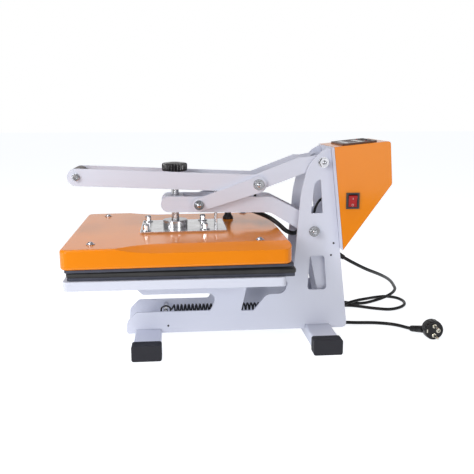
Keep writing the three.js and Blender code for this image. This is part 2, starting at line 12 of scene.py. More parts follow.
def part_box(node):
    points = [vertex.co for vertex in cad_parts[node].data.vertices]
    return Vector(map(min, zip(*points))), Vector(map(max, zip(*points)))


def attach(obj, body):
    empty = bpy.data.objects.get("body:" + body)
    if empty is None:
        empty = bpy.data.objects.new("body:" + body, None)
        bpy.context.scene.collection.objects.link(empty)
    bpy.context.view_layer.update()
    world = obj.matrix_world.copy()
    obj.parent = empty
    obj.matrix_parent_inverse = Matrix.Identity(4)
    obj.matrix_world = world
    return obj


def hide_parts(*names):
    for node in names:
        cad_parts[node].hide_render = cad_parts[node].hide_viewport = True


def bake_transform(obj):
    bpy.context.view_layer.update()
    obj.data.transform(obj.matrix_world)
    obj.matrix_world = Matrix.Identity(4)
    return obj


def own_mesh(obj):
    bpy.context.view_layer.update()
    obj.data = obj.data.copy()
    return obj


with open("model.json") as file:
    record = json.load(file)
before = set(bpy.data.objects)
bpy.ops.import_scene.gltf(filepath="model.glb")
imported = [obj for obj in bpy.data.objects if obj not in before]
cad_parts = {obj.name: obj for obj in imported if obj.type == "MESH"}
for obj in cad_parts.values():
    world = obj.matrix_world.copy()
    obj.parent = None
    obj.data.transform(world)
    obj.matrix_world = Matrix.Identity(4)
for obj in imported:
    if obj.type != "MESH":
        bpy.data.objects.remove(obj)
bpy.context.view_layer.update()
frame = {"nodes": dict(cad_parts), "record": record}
nodes = frame["nodes"]

# Lengths are in metres where a constant says MM, and in millimetres otherwise. Places in millimetres are
# measured from the middle of the tray, on the floor; at() turns them into places in the frame.
MM = 0.001
SHIFT = 107 * MM  # the frame's origin lies this far behind the middle of the tray
GRIP_RADIUS = 15.5
PLATEN_TILT = 0.01  # radians
PLATEN_BOTTOM = 187.24
BOX_TOP_FRONT = 298.6
BOX_TOP_HEIGHT = 380.3
BOX_TOP_SLOPE = 0.1  # radians
ROCKER_PIVOT = Vector((60.5, 336.8, 278.8))
ROCKER_TILT = 0.16  # radians, with the switch off
SPRING_FRONT = Vector((0, -23, 52))
SPRING_REAR = Vector((0, 305, 50))

CORD_DIAMETER = 7 * MM
CORD_ROUTE = [
    (0, 340.9, 152.7), (-2, 357, 143.3), (-19, 391, 124), (-60, 440, 98), (-104, 475, 74),
    (-138, 497, 52), (-158, 508, 36), (-173, 506, 22), (-180, 491, 10.5), (-177, 468, 4.3),
    (-160, 434, 3.8), (-163, 406, 3.8), (-190, 364, 3.8), (-207, 325, 3.8), (-210, 298, 3.8),
    (-200, 275, 3.8), (-178, 266, 3.8), (-157, 273, 3.8), (-146.5, 293, 3.8), (-145.5, 332, 3.8),
    (-144, 398, 3.8), (-118, 449, 3.8), (-108, 479, 3.8), (-119, 507, 3.8), (-142, 527, 3.8),
    (-170, 533, 3.8), (-195, 525, 3.8), (-208, 504, 3.8), (-204, 480, 3.9), (-173, 441, 9.6),
    (-156, 417, 11.9), (-140, 391, 10.8), (-118, 352, 4.2), (-95, 326, 3.8), (-63, 316, 3.8),
    (-36, 333, 3.8), (-26, 370, 3.8), (-19, 422, 3.8), (-5, 455, 3.9), (32.3, 476.1, 7.9),
]
LEAD_ROUTE = [
    (-81, 110, 238.4), (-79, 112, 252), (-68, 124, 260), (-48, 143, 252), (-26, 159, 247),
    (-4, 175, 243), (13, 188, 238), (23, 202, 228), (24, 217, 215), (17, 233, 209), (7, 247, 215),
    (1, 257, 229), (0, 274.5, 243), (0, 279.5, 258), (0, 286, 270), (0, 297, 277), (0, 311, 279.5),
    (0, 327, 280),
]
LEAD_RADIUS = 4.3 * MM
LEAD_END_RADIUS = 2.6 * MM  # the thin cable inside the tower
LEAD_SIDES = 14
LEAD_STEPS = 10  # rings between two points of the route
LEAD_SPLIT = 9  # the point of the route, behind the cover, where the lead's two pieces meet


def at(x, y, z):
    """A point in millimetres from the middle of the tray, as a place in the frame."""
    return Vector((x * MM, y * MM - SHIFT, z * MM))


# ---------------------------------------------------------------- camera, floor and light
LENS = 48.13
CAMERA_PLACE = (1235.34, 5.94, 448.62)
CAMERA_YAW = 0.0932
CAMERA_PITCH = 0.198
FLOOR_REACH = 12
FLOOR_FRONT = 0.75  # the floor ends between the press and the camera, so that metal reflects a dark room
FLOOR_GREY = 0.4
FLOOR_TINT = (0.95, 0.97, 1)
FLOOR_GLOW = 0.92  # the floor as it is seen
FLOOR_LIGHT = 0.74  # the floor as it lights the press
WHITE_ROOM = 0.75  # strength of the light from behind the press
DARK_ROOM = 0.2
ROOM_EDGE = (-0.94, -0.7)  # X of the directions between which the room turns from white to dark


def add_camera():
    data = bpy.data.cameras.new("camera")
    data.lens = LENS
    data.sensor_width = 36
    data.clip_start = 0.05
    camera = bpy.data.objects.new("camera", data)
    level = math.cos(CAMERA_PITCH)
    look = Vector((-math.cos(CAMERA_YAW) * level, math.sin(CAMERA_YAW) * level, -math.sin(CAMERA_PITCH)))
    camera.location = at(*CAMERA_PLACE)
    camera.rotation_euler = look.to_track_quat("-Z", "Y").to_euler()
    bpy.context.scene.collection.objects.link(camera)
    bpy.context.scene.camera = camera


def add_light(name, place, target, size, energy):
    """A rectangle of white light that faces its target."""
    data = bpy.data.lights.new(name, "AREA")
    data.shape = "RECTANGLE"
    data.size, data.size_y = size
    data.energy = energy
    light = bpy.data.objects.new(name, data)
    light.location = place
    light.rotation_euler = (Vector(target) - Vector(place)).to_track_quat("-Z", "Y").to_euler()
    bpy.context.scene.collection.objects.link(light)


def floor_material():
    """Matt white that glows, a little more where it is seen than where it lights the press."""
    material = bpy.data.materials.new("floor")
    material.use_nodes = True
    tree = material.node_tree
    shader = tree.nodes["Principled BSDF"]
    shader.inputs["Base Color"].default_value = (FLOOR_GREY, FLOOR_GREY, FLOOR_GREY, 1)
    shader.inputs["Roughness"].default_value = 0.9
    shader.inputs["Specular IOR Level"].default_value = 0
    shader.inputs["Emission Color"].default_value = (*FLOOR_TINT, 1)
    rays = tree.nodes.new("ShaderNodeLightPath")
    glow = tree.nodes.new("ShaderNodeMapRange")
    glow.inputs["To Min"].default_value = FLOOR_LIGHT
    glow.inputs["To Max"].default_value = FLOOR_GLOW
    tree.links.new(rays.outputs["Is Camera Ray"], glow.inputs["Value"])
    tree.links.new(glow.outputs["Result"], shader.inputs["Emission Strength"])
    return material


def add_floor():
    mesh = bpy.data.meshes.new("floor")
    corners = [(x, y, 0) for x, y in (
        (-FLOOR_REACH, -FLOOR_REACH), (FLOOR_FRONT, -FLOOR_REACH), (FLOOR_FRONT, FLOOR_REACH),
        (-FLOOR_REACH, FLOOR_REACH),
    )]
    mesh.from_pydata(corners, [], [(0, 1, 2, 3)])
    mesh.materials.append(floor_material())
    floor = bpy.data.objects.new("floor", mesh)
    bpy.context.scene.collection.objects.link(floor)


def add_lights():
    add_light("key", (1.1, -1.5, 1.3), (0, -0.1, 0.25), (0.9, 0.9), 25)
    add_light("front", (1.7, -1.0, 0.42), (0, 0, 0.3), (0.25, 0.8), 9)
    add_light("overhead", (0.1, -0.5, 2.2), (0, -0.05, 0.2), (0.9, 0.9), 11)
    add_light("fill", (2.0, 1.3, 0.8), (0, 0.1, 0.2), (0.8, 0.8), 7)
    add_light("low", (2.3, 0.8, 0.34), (0, 0.2, 0.3), (0.9, 0.7), 3.2)


def add_surroundings():
    """A white room behind the press and a dark one in front of it; seen directly it is white all round."""
    world = bpy.data.worlds.new("studio")
    bpy.context.scene.world = world
    world.use_nodes = True
    tree = world.node_tree
    background = tree.nodes["Background"]
    background.inputs["Color"].default_value = (1, 1, 1, 1)
    direction = tree.nodes.new("ShaderNodeTexCoord").outputs["Generated"]
    split = tree.nodes.new("ShaderNodeSeparateXYZ")
    tree.links.new(direction, split.inputs["Vector"])
    room = tree.nodes.new("ShaderNodeMapRange")
    room.inputs["From Min"].default_value = ROOM_EDGE[0]
    room.inputs["From Max"].default_value = ROOM_EDGE[1]
    room.inputs["To Min"].default_value = WHITE_ROOM
    room.inputs["To Max"].default_value = DARK_ROOM
    tree.links.new(split.outputs["X"], room.inputs["Value"])
    rays = tree.nodes.new("ShaderNodeLightPath")
    seen = tree.nodes.new("ShaderNodeMath")
    seen.operation = "MAXIMUM"
    tree.links.new(rays.outputs["Is Camera Ray"], seen.inputs[0])
    tree.links.new(room.outputs["Result"], seen.inputs[1])
    tree.links.new(seen.outputs["Value"], background.inputs["Strength"])


# ---------------------------------------------------------------- materials
class Nodes:
    """Short calls for building one material's node tree."""

    def __init__(self, name, base, roughness, metallic=0.0):
        self.material = bpy.data.materials.new(name)
        self.material.use_nodes = True
        self.tree = self.material.node_tree
        self.shader = self.tree.nodes["Principled BSDF"]
        self.set("Base Color", (*base, 1))
        self.set("Roughness", roughness)
        self.set("Metallic", metallic)
        self.place = self.tree.nodes.new("ShaderNodeTexCoord").outputs["Object"]

    def set(self, socket, value):
        self.shader.inputs[socket].default_value = value

    def link(self, output, socket):
        self.tree.links.new(output, self.shader.inputs[socket])

    def noise(self, scale, detail=3, stretch=(1, 1, 1)):
        mapping = self.tree.nodes.new("ShaderNodeMapping")
        mapping.inputs["Scale"].default_value = stretch
        self.tree.links.new(self.place, mapping.inputs["Vector"])
        node = self.tree.nodes.new("ShaderNodeTexNoise")
        node.inputs["Scale"].default_value = scale
        node.inputs["Detail"].default_value = detail
        node.inputs["Roughness"].default_value = 0.55
        self.tree.links.new(mapping.outputs["Vector"], node.inputs["Vector"])
        return node.outputs["Fac"]

    def cells(self, scale):
        node = self.tree.nodes.new("ShaderNodeTexVoronoi")
        node.inputs["Scale"].default_value = scale
        self.tree.links.new(self.place, node.inputs["Vector"])
        return node.outputs["Distance"]

    def ramp(self, factor, low, high, start=0.3, end=0.7):
        node = self.tree.nodes.new("ShaderNodeValToRGB")
        node.color_ramp.elements[0].position = start
        node.color_ramp.elements[1].position = end
        node.color_ramp.elements[0].color = (*low, 1)
        node.color_ramp.elements[1].color = (*high, 1)
        self.tree.links.new(factor, node.inputs["Fac"])
        return node.outputs["Color"]

    def spread(self, factor, low, high):
        node = self.tree.nodes.new("ShaderNodeMapRange")
        node.inputs["To Min"].default_value = low
        node.inputs["To Max"].default_value = high
        self.tree.links.new(factor, node.inputs["Value"])
        return node.outputs["Result"]

    def edge_dust_and_sheen(self, colour, edge_colour):
        """Mixes a paler colour in along sharp outside edges: dust, and a painted highlight where the edges
        would catch the light.
        """
        edge = self.tree.nodes.new("ShaderNodeNewGeometry").outputs["Pointiness"]
        mask = self.ramp(edge, (0, 0, 0), (1, 1, 1), 0.53, 0.62)
        mix = self.tree.nodes.new("ShaderNodeMix")
        mix.data_type = "RGBA"
        self.tree.links.new(mask, mix.inputs["Factor"])
        self.tree.links.new(colour, mix.inputs["A"])
        mix.inputs["B"].default_value = (*edge_colour, 1)
        return mix.outputs["Result"]

    def bump(self, height, strength, distance, rounding=None):
        node = self.tree.nodes.new("ShaderNodeBump")
        node.inputs["Strength"].default_value = strength
        node.inputs["Distance"].default_value = distance
        self.tree.links.new(height, node.inputs["Height"])
        if rounding:
            bevel = self.tree.nodes.new("ShaderNodeBevel")
            bevel.samples = 4
            bevel.inputs["Radius"].default_value = rounding
            self.tree.links.new(bevel.outputs["Normal"], node.inputs["Normal"])
        self.link(node.outputs["Normal"], "Normal")


def powder_coat(
    name, base, shade, roughness, coat=0.0, specular=0.4, rounding=0.6 * MM, grain=900, relief=0.05
):
    """Sprayed and baked paint: faint orange peel, slow colour drift and slightly uneven gloss."""
    m = Nodes(name, base, roughness)
    m.link(m.edge_dust_and_sheen(m.ramp(m.noise(7, 2), shade, base), base), "Base Color")
    m.link(m.spread(m.noise(45, 4), roughness - 0.06, roughness + 0.08), "Roughness")
    m.set("Coat Weight", coat)
    m.set("Coat Roughness", 0.1)
    m.set("Specular IOR Level", specular)
    m.bump(m.noise(grain, 2), relief, 0.05 * MM, rounding)
    return m.material


def plated_steel(name, base, roughness, stretch=(1, 1, 1)):
    """Zinc or chrome plate over turned steel, with fine lines and a little uneven shine."""
    m = Nodes(name, base, roughness, 1.0)
    darker = tuple(c * 0.8 for c in base)
    m.link(m.ramp(m.noise(60, 4), darker, base), "Base Color")
    m.link(m.spread(m.noise(220, 3, stretch), roughness - 0.07, roughness + 0.12), "Roughness")
    m.bump(m.noise(700, 2, stretch), 0.12, 0.05 * MM, 0.4 * MM)
    return m.material


def moulded(name, base, roughness, grain=1400, relief=0.25, rounding=0.5 * MM, specular=0.5):
    """Moulded plastic or rubber: a fine pebble grain, and edges made paler by dust and a painted highlight.
    """
    m = Nodes(name, base, roughness)
    lighter = tuple(c * 1.35 + 0.01 for c in base)
    # Paler along sharp outside edges: partly dust, partly a painted highlight on the edges and ridges.
    dust_and_sheen = tuple(c * 1.6 + 0.02 for c in base)
    m.link(m.edge_dust_and_sheen(m.ramp(m.noise(30, 4), base, lighter), dust_and_sheen), "Base Color")
    m.link(m.spread(m.noise(90, 3), roughness - 0.08, roughness + 0.08), "Roughness")
    m.set("Specular IOR Level", specular)
    m.bump(m.cells(grain), relief, 0.06 * MM, rounding)
    return m.material


def foam_grip():
    """Dark brown foam rubber, with fine open pores."""
    m = Nodes("foam_grip", (0.045, 0.022, 0.02), 0.75)
    m.link(m.ramp(m.noise(120, 5), (0.03, 0.015, 0.014), (0.075, 0.038, 0.034)), "Base Color")
    m.set("Sheen Weight", 0.25)
    m.bump(m.noise(900, 4), 0.5, 0.15 * MM)
    return m.material


def wool():
    """Ceramic wool: matted pale fibres."""
    m = Nodes("ceramic_wool", (0.8, 0.77, 0.68), 0.95)
    m.link(m.ramp(m.noise(60, 6), (0.66, 0.62, 0.52), (0.86, 0.84, 0.77)), "Base Color")
    m.bump(m.noise(260, 6, (1, 3, 1)), 0.8, 0.8 * MM)
    return m.material


def silicone():
    """Black silicone sponge under a smooth skin with the marks of use."""
    m = Nodes("silicone_sheet", (0.012, 0.012, 0.013), 0.55)
    m.link(m.ramp(m.noise(18, 5), (0.008, 0.008, 0.009), (0.028, 0.027, 0.028)), "Base Color")
    m.link(m.spread(m.noise(25, 4), 0.42, 0.68), "Roughness")
    m.set("Sheen Weight", 0.1)
    m.bump(m.noise(500, 4), 0.4, 0.12 * MM)
    return m.material


def circuit_board():
    """Green board with paler specks of solder."""
    m = Nodes("circuit_board", (0.02, 0.12, 0.05), 0.35)
    m.link(m.ramp(m.cells(420), (0.10, 0.22, 0.08), (0.015, 0.09, 0.04), 0.1, 0.25), "Base Color")
    m.bump(m.cells(420), 0.3, 0.05 * MM)
    return m.material


def glossy(name, base, roughness, coat=0.5):
    """Glossy plastic or a window, with faint smears."""
    m = Nodes(name, base, roughness)
    m.link(m.ramp(m.noise(24, 4), tuple(c * 0.85 for c in base), base), "Base Color")
    m.link(m.spread(m.noise(70, 5), roughness - 0.04, roughness + 0.14), "Roughness")
    m.set("Coat Weight", coat)
    m.bump(m.noise(150, 3), 0.03, 0.05 * MM, 0.6 * MM)
    return m.material


WHITE = powder_coat("white_coat", (0.645, 0.665, 0.765), (0.60, 0.62, 0.725), 0.42)
ORANGE = powder_coat(
    "orange_coat", (0.83, 0.243, 0.004), (0.79, 0.222, 0.003), 0.2,
    coat=0.45, specular=0.2, rounding=1.2 * MM, grain=500, relief=0.08,
)
STEEL = plated_steel("zinc_plate", (0.60, 0.61, 0.65), 0.2)
TURNED = plated_steel("turned_steel", (0.68, 0.68, 0.70), 0.2, (1, 1, 9))
SPRING_STEEL = plated_steel("black_spring_steel", (0.05, 0.05, 0.055), 0.35)
CAST_PLATE = plated_steel("coated_aluminium", (0.10, 0.105, 0.135), 0.45)
RUBBER = moulded("foot_rubber", (0.007, 0.007, 0.011), 0.6, specular=0.14)
KNOB = moulded("knob_plastic", (0.008, 0.007, 0.008), 0.2, 1800, 0.03, 0.2 * MM, specular=0.8)
PLASTIC = moulded("black_plastic", (0.016, 0.016, 0.018), 0.38, 1800, 0.12)
PVC = moulded("cord_pvc", (0.006, 0.006, 0.007), 0.3, 1500, 0.08, specular=0.3)
SILICONE = silicone()
GRIP = foam_grip()
WOOL = wool()
BOARD = circuit_board()
RED = glossy("red_rocker", (0.42, 0.003, 0.005), 0.5, 0)
WINDOW = glossy("display_window", (0.02, 0.022, 0.03), 0.08)
PANEL = glossy("panel_film", (0.085, 0.034, 0.022), 0.35, 0.1)
BRASS = plated_steel("brass_pin", (0.75, 0.72, 0.62), 0.25)
MARK = glossy("white_mark", (0.62, 0.5, 0.48), 0.3)
SEGMENT = glossy("unlit_segment", (0.10, 0.012, 0.01), 0.3)
MOUNT = plated_steel("mount_plate_steel", (0.92, 0.92, 0.94), 0.2, (1, 12, 1))

SLOT_MATERIALS = {
    "white": WHITE, "orange": ORANGE, "rubber": RUBBER, "cord": PVC, "grip": GRIP, "steel": STEEL,
    "spring": SPRING_STEEL, "aluminium": CAST_PLATE, "wool": WOOL, "plastic": PLASTIC, "circuit": BOARD,
    "rocker": RED, "window": WINDOW,
}
NODE_MATERIALS = {
    "spindle": TURNED, "spindle_hub": TURNED, "mount_plate": MOUNT, "controller_bezel": PANEL,
    "guide_rod": TURNED, "knob": KNOB, "key_set": PLASTIC, "key_up": PLASTIC, "key_down": PLASTIC,
}


def dress_cad_nodes():
    """Gives every CAD node its material, and shades its rounded faces smooth."""
    slot_of = {s["node"]: s["material_slot"] for s in frame["record"]["subparts"]}
    for name, node in nodes.items():
        mesh = node.data
        if "custom_normal" in mesh.attributes:
            mesh.attributes.remove(mesh.attributes["custom_normal"])
        mesh.shade_smooth()
        mesh.set_sharp_from_angle(angle=math.radians(32))
        material = NODE_MATERIALS.get(name, SLOT_MATERIALS[slot_of[name]])
        if not mesh.materials:
            mesh.materials.append(material)
        for slot in node.material_slots:
            slot.material = material


# ---------------------------------------------------------------- making pieces
def piece(name, mesh, material, body):
    """An object of that mesh, riding on a body if one is given."""
    item = bpy.data.objects.new(name, mesh)
    bpy.context.scene.collection.objects.link(item)
    mesh.materials.append(material)
    mesh.shade_smooth()
    mesh.set_sharp_from_angle(angle=math.radians(35))
    if body:
        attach(item, body)
    return item


def mesh_of(points, faces):
    mesh = bpy.data.meshes.new("made")
    mesh.from_pydata([tuple(p) for p in points], [], faces)
    mesh.update()
    return mesh


def turns(count):
    """The angles of a whole turn in equal steps."""
    return [2 * math.pi * k / count for k in range(count)]


def wall_faces(rings, sides):
    """Faces between each ring of points and the next."""
    faces = []
    for r in range(rings - 1):
        for k in range(sides):
            a, b = r * sides + k, r * sides + (k + 1) % sides
            faces.append((a, b, b + sides, a + sides))
    return faces


def end_faces(rings, sides):
    """One face over the first ring and one over the last."""
    last = (rings - 1) * sides
    return [tuple(reversed(range(sides))), tuple(range(last, last + sides))]


def loft_faces(rings, sides):
    """Faces of a closed solid through rings of points."""
    return wall_faces(rings, sides) + end_faces(rings, sides)


def loop_faces(rings, sides):
    """Faces of a closed loop: rings of points round its middle, the last one joined to the first."""
    faces, count = [], rings * sides
    for r in range(rings):
        for k in range(sides):
            a, b = r * sides + k, r * sides + (k + 1) % sides
            faces.append((a, (a + sides) % count, (b + sides) % count, b))
    return faces


def turned(profile, place, direction, sides=32):
    """A turned solid, closed at both ends: profile is [distance along, radius] in millimetres."""
    spin = Vector((0, 0, 1)).rotation_difference(Vector(direction).normalized())
    points = []
    for along, radius in profile:
        for angle in turns(sides):
            spoke = Vector((radius * MM * math.cos(angle), radius * MM * math.sin(angle), along * MM))
            points.append(place + spin @ spoke)
    return points, loft_faces(len(profile), sides)


def gather(*solids):
    """One mesh from several solids, each a list of points and a list of faces."""
    points, faces = [], []
    for some_points, some_faces in solids:
        faces += [tuple(i + len(points) for i in face) for face in some_faces]
        points += some_points
    return mesh_of(points, faces)


def catmull_rom(route, per_span=12):
    """Dense points on a centripetal curve through the route."""
    p = [at(*r) for r in route]
    p = [2 * p[0] - p[1]] + p + [2 * p[-1] - p[-2]]
    curve = []
    for i in range(1, len(p) - 2):
        p0, p1, p2, p3 = p[i - 1], p[i], p[i + 1], p[i + 2]
        t1 = (p1 - p0).length ** 0.5
        t2 = t1 + (p2 - p1).length ** 0.5
        t3 = t2 + (p3 - p2).length ** 0.5
        for k in range(per_span + (i == len(p) - 3)):
            t = t1 + (t2 - t1) * k / per_span
            a1 = p0 * ((t1 - t) / t1) + p1 * (t / t1)
            a2 = p1 * ((t2 - t) / (t2 - t1)) + p2 * ((t - t1) / (t2 - t1))
            a3 = p2 * ((t3 - t) / (t3 - t2)) + p3 * ((t - t2) / (t3 - t2))
            b1 = a1 * ((t2 - t) / t2) + a2 * (t / t2)
            b2 = a2 * ((t3 - t) / (t3 - t1)) + a3 * ((t - t1) / (t3 - t1))
            curve.append(b1 * ((t2 - t) / (t2 - t1)) + b2 * ((t - t1) / (t2 - t1)))
    return curve


TAPER_SHARE = 0.03  # the share of a tube's length in which it tapers


def tube(points, radius, sides=14, end_radius=None, taper_from=1.0):
    """A round tube along a line of points, with closed ends; it can taper to its end."""
    ring_points = []
    side = None
    for i, place in enumerate(points):
        ahead = (points[min(i + 1, len(points) - 1)] - points[max(i - 1, 0)]).normalized()
        if side is None:
            side = ahead.orthogonal().normalized()
        side = (side - ahead * side.dot(ahead)).normalized()
        across = ahead.cross(side)
        size = radius
        if end_radius:
            late = min(1, max(0, (i / (len(points) - 1) - taper_from) / TAPER_SHARE))
            size += (end_radius - radius) * late
        for angle in turns(sides):
            ring_points.append(place + (side * math.cos(angle) + across * math.sin(angle)) * size)
    return ring_points, loft_faces(len(points), sides)


def curve_piece(name, points, diameter, material, body):
    """A round cable as a curve object of one open spline."""
    data = bpy.data.curves.new(name, "CURVE")
    data.dimensions = "3D"
    data.bevel_depth = diameter / 2
    data.bevel_resolution = 5
    data.use_fill_caps = True
    spline = data.splines.new("POLY")
    spline.points.add(len(points) - 1)
    for target, place in zip(spline.points, points):
        target.co = (*place, 1)
    spline.use_smooth = True
    item = bpy.data.objects.new(name, data)
    bpy.context.scene.collection.objects.link(item)
    data.materials.append(material)
    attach(item, body)
    return item


# ---------------------------------------------------------------- mains cord and plug
PLUG_FACE = Vector((1, 0, 0))
PLUG_Y = 506
PLUG_Z = 19.8
PLUG_BACK = 54  # X of the plug's rounded back
PLUG_RECESS = 82.4  # X of the bottom of its recessed face
PLUG_FLUTES = 16
FLUTED_PART = (10, 27)  # measured from the plug's back
FLUTED_RADIUS = 18.5  # the flutes are cut where the plug is wider than this
FLUTE_DEPTH = 1.1


def plug_body():
    """Mains plug with a scalloped grip round its body, a recessed face and a ribbed relief."""
    centre = at(PLUG_BACK, PLUG_Y, PLUG_Z)
    back = [
        (0, 2), (0.2, 9), (2.5, 13.5), (6, 17), (9, 18.4), (11, 19.2), (13, 19.5), (24, 19.5),
        (26, 19.3), (28, 18.8), (29.6, 18), (30, 17.2), (30, 15.9), (28.8, 15.4), (28.6, 2),
    ]
    sides = 96
    points, faces = turned(back, centre, PLUG_FACE, sides)
    for i, place in enumerate(points):
        along = (place - centre).dot(PLUG_FACE) / MM
        spoke = place - centre - PLUG_FACE * (along * MM)
        if FLUTED_PART[0] < along < FLUTED_PART[1] and spoke.length > FLUTED_RADIUS * MM:
            wave = math.cos(2 * math.pi * PLUG_FLUTES * (i % sides) / sides)
            points[i] = place - spoke.normalized() * (1 - wave) * FLUTE_DEPTH / 2 * MM
    root = at(62, 492, 16)
    heading = Vector((-0.852, -0.456, -0.232)).normalized()
    ribs = [(0, 7.4), (6, 7.2)]
    for ring in range(6):
        start = 7.5 + ring * 3.9
        thick = 7.1 - ring * 0.16
        ribs += [(start, thick), (start + 2.2, thick)]
        ribs += [(start + 2.3, thick - 1.3), (start + 3.7, thick - 1.3)]
    ribs += [(31.2, 5.9), (33, 5.4), (34, 4.2)]
    relief = turned(ribs, root, heading, 24)
    item = piece("plug_body", gather((points, faces), relief), PVC, "stand")
    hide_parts("plug")
    return item


def plug_metal():
    """Pins, earth socket and earth clip of the plug."""
    pin = [(0, 2.4), (17.5, 2.4), (18.6, 1.9), (19, 1.0)]
    collar = [(0, 4.4), (1.6, 4.4), (2.0, 3.9)]
    solids = []
    for up in (-9.5, 9.5):
        solids.append(turned(pin, at(84, PLUG_Y, PLUG_Z + up), PLUG_FACE, 20))
        solids.append(turned(collar, at(PLUG_RECESS, PLUG_Y, PLUG_Z + up), PLUG_FACE, 20))
    socket = [(0, 4.4), (1.8, 4.4), (2.1, 3.9), (2.1, 2.9), (0.3, 2.7)]
    solids.append(turned(socket, at(PLUG_RECESS, PLUG_Y + 8, PLUG_Z), PLUG_FACE, 24))
    clip = [(-15.6, -2.2), (-15.2, -3.4), (-13.4, -3.4), (-13.4, 3.4), (-15.2, 3.4), (-15.6, 2.2)]
    points = [at(x, PLUG_Y + along, PLUG_Z + across) for x in (82.5, 84.4) for along, across in clip]
    solids.append((points, loft_faces(2, len(clip))))
    return piece("plug_pins", gather(*solids), BRASS, "stand")


def add_cord():
    """The mains cord, with the plug at its far end."""
    points = catmull_rom(CORD_ROUTE)
    cord = curve_piece("mains_cord", points, CORD_DIAMETER, PVC, "stand")
    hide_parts("power_cord")
    body, pins = plug_body(), plug_metal()


# ---------------------------------------------------------------- spring and heater lead
WIRE = 1.75  # radius of the spring's wire
COIL_RADIUS = 10.2
COIL_PITCH = 7.4
COILS_FROM = 17  # distance of the first coil from the front pin
COILS_LEFT = 20  # distance of the last coil from the rear pin
STEPS_PER_COIL = 14


def oval_ring(centre, half_y, half_z):
    """A closed loop of wire around a pin that lies along X."""
    steps, sides = 28, 8
    points = []
    for angle in turns(steps):
        outward = Vector((0, math.cos(angle) / half_y, math.sin(angle) / half_z)).normalized()
        middle = Vector((0, half_y * math.cos(angle), half_z * math.sin(angle)))
        for turn in turns(sides):
            offset = outward * math.cos(turn) + Vector((1, 0, 0)) * math.sin(turn)
            points.append(at(*(centre + middle + offset * WIRE)))
    return points, loop_faces(steps, sides)


def add_spring():
    """Tension spring with an eye at each end."""
    whole = SPRING_REAR - SPRING_FRONT
    along = whole.normalized()
    across = Vector((1, 0, 0))
    up = across.cross(along)
    coils_length = whole.length - COILS_LEFT - COILS_FROM
    coils = round(coils_length / COIL_PITCH)
    steps = coils * STEPS_PER_COIL
    line = []
    for i in range(steps + 1):
        angle = 2 * math.pi * coils * i / steps
        middle = SPRING_FRONT + along * (COILS_FROM + coils_length * i / steps)
        line.append(at(*(middle + (across * math.sin(angle) + up * math.cos(angle)) * COIL_RADIUS)))
    front_hook = [(9.5, 0), (12, 1.5), (14.5, 6)]
    rear_hook = [(COILS_LEFT - 2.5, 7), (COILS_LEFT - 4.8, 2.5), (COILS_LEFT - 6.8, 0)]
    line = [at(*(SPRING_FRONT + along * d + up * h)) for d, h in front_hook] + line
    line += [at(*(SPRING_REAR - along * d + up * h)) for d, h in rear_hook]
    solids = [tube(line, WIRE * MM, 8), oval_ring(SPRING_FRONT, 9.6, 8.6), oval_ring(SPRING_REAR, 13.2, 9.9)]
    spring = piece("tension_spring", gather(*solids), SPRING_STEEL, "stand")
    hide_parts("counter_spring")
    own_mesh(spring)


def add_heater_lead():
    """The black sleeve from the cover's gland to the tower, and the thin cable that goes on into the box.

    It is one tube in two pieces, which meet behind the cover.
    """
    line = catmull_rom(LEAD_ROUTE, LEAD_STEPS)
    points, faces = tube(line, LEAD_RADIUS, LEAD_SIDES, LEAD_END_RADIUS, taper_from=0.6)
    border = LEAD_SPLIT * LEAD_STEPS * LEAD_SIDES
    front_faces = [face for face in faces if max(face) < border + LEAD_SIDES]
    front_faces.append(tuple(border + k for k in range(LEAD_SIDES)))
    rear_faces = [tuple(corner - border for corner in face) for face in faces if min(face) >= border]
    rear_faces.append(tuple(reversed(range(LEAD_SIDES))))
    front_mesh = mesh_of(points[:border + LEAD_SIDES], front_faces)
    front = piece("heater_cable_front", front_mesh, PVC, None)
    rear = piece("heater_cable", mesh_of(points[border:], rear_faces), PVC, None)
    for lead in (front, rear):
        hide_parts("heater_lead")
    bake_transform(front)
    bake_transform(rear)


def add_gland():
    """Ribbed strain relief where the mains cord leaves the lip under the control box."""
    place, heading = at(0, 312.5, 168.5), Vector((0, 0.875, -0.485))
    profile = [(-6, 4.5), (-6, 9.4), (-0.8, 9.4), (-0.7, 6.4), (1.9, 6.4), (1.9, 9.4)]
    profile += [(6.5, 9.1), (7.6, 7.6)]
    for ring in range(5):
        start, thick = 8.4 + ring * 4.4, 7.2 - ring * 0.5
        profile += [(start, thick), (start + 2.6, thick - 0.1)]
        profile += [(start + 2.7, thick - 1.1), (start + 4.2, thick - 1.2)]
    profile += [(30.6, 4.9), (32, 4.4)]
    gland = piece("strain_relief", gather(turned(profile, place, heading, 28)), PVC, "stand")
    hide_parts("cord_gland")


# ---------------------------------------------------------------- soft and padded parts
def rounded_ring(x0, y0, x1, y1, radius, height, per_corner=6):
    """Points of a rectangle with round corners, at one height, in millimetres."""
    ring = []
    for cx, cy, first in ((x1, y1, 0), (x0, y1, 90), (x0, y0, 180), (x1, y0, 270)):
        sx, sy = (-radius if cx == x1 else radius), (-radius if cy == y1 else radius)
        for k in range(per_corner + 1):
            angle = math.radians(first + 90 * k / per_corner)
            ring.append((cx + sx + radius * math.cos(angle), cy + sy + radius * math.sin(angle), height))
    return ring


def slab(rings):
    """A closed solid lofted through rings of points, with the ends filled towards their middles."""
    count = len(rings[0])
    points = [at(*p) for ring in rings for p in ring]
    faces = wall_faces(len(rings), count)
    for ring, flip in ((0, True), (len(rings) - 1, False)):
        middle = sum((points[ring * count + k] for k in range(count)), Vector()) / count
        points.append(middle)
        centre = len(points) - 1
        for k in range(count):
            a, b = ring * count + k, ring * count + (k + 1) % count
            faces.append((b, a, centre) if flip else (a, b, centre))
    return points, faces


def tray_box(low, high):
    """Half width, front, rear, bottom and top of a box, in millimetres from the middle of the tray."""
    return high.x / MM, (low.y + SHIFT) / MM, (high.y + SHIFT) / MM, low.z / MM, high.z / MM


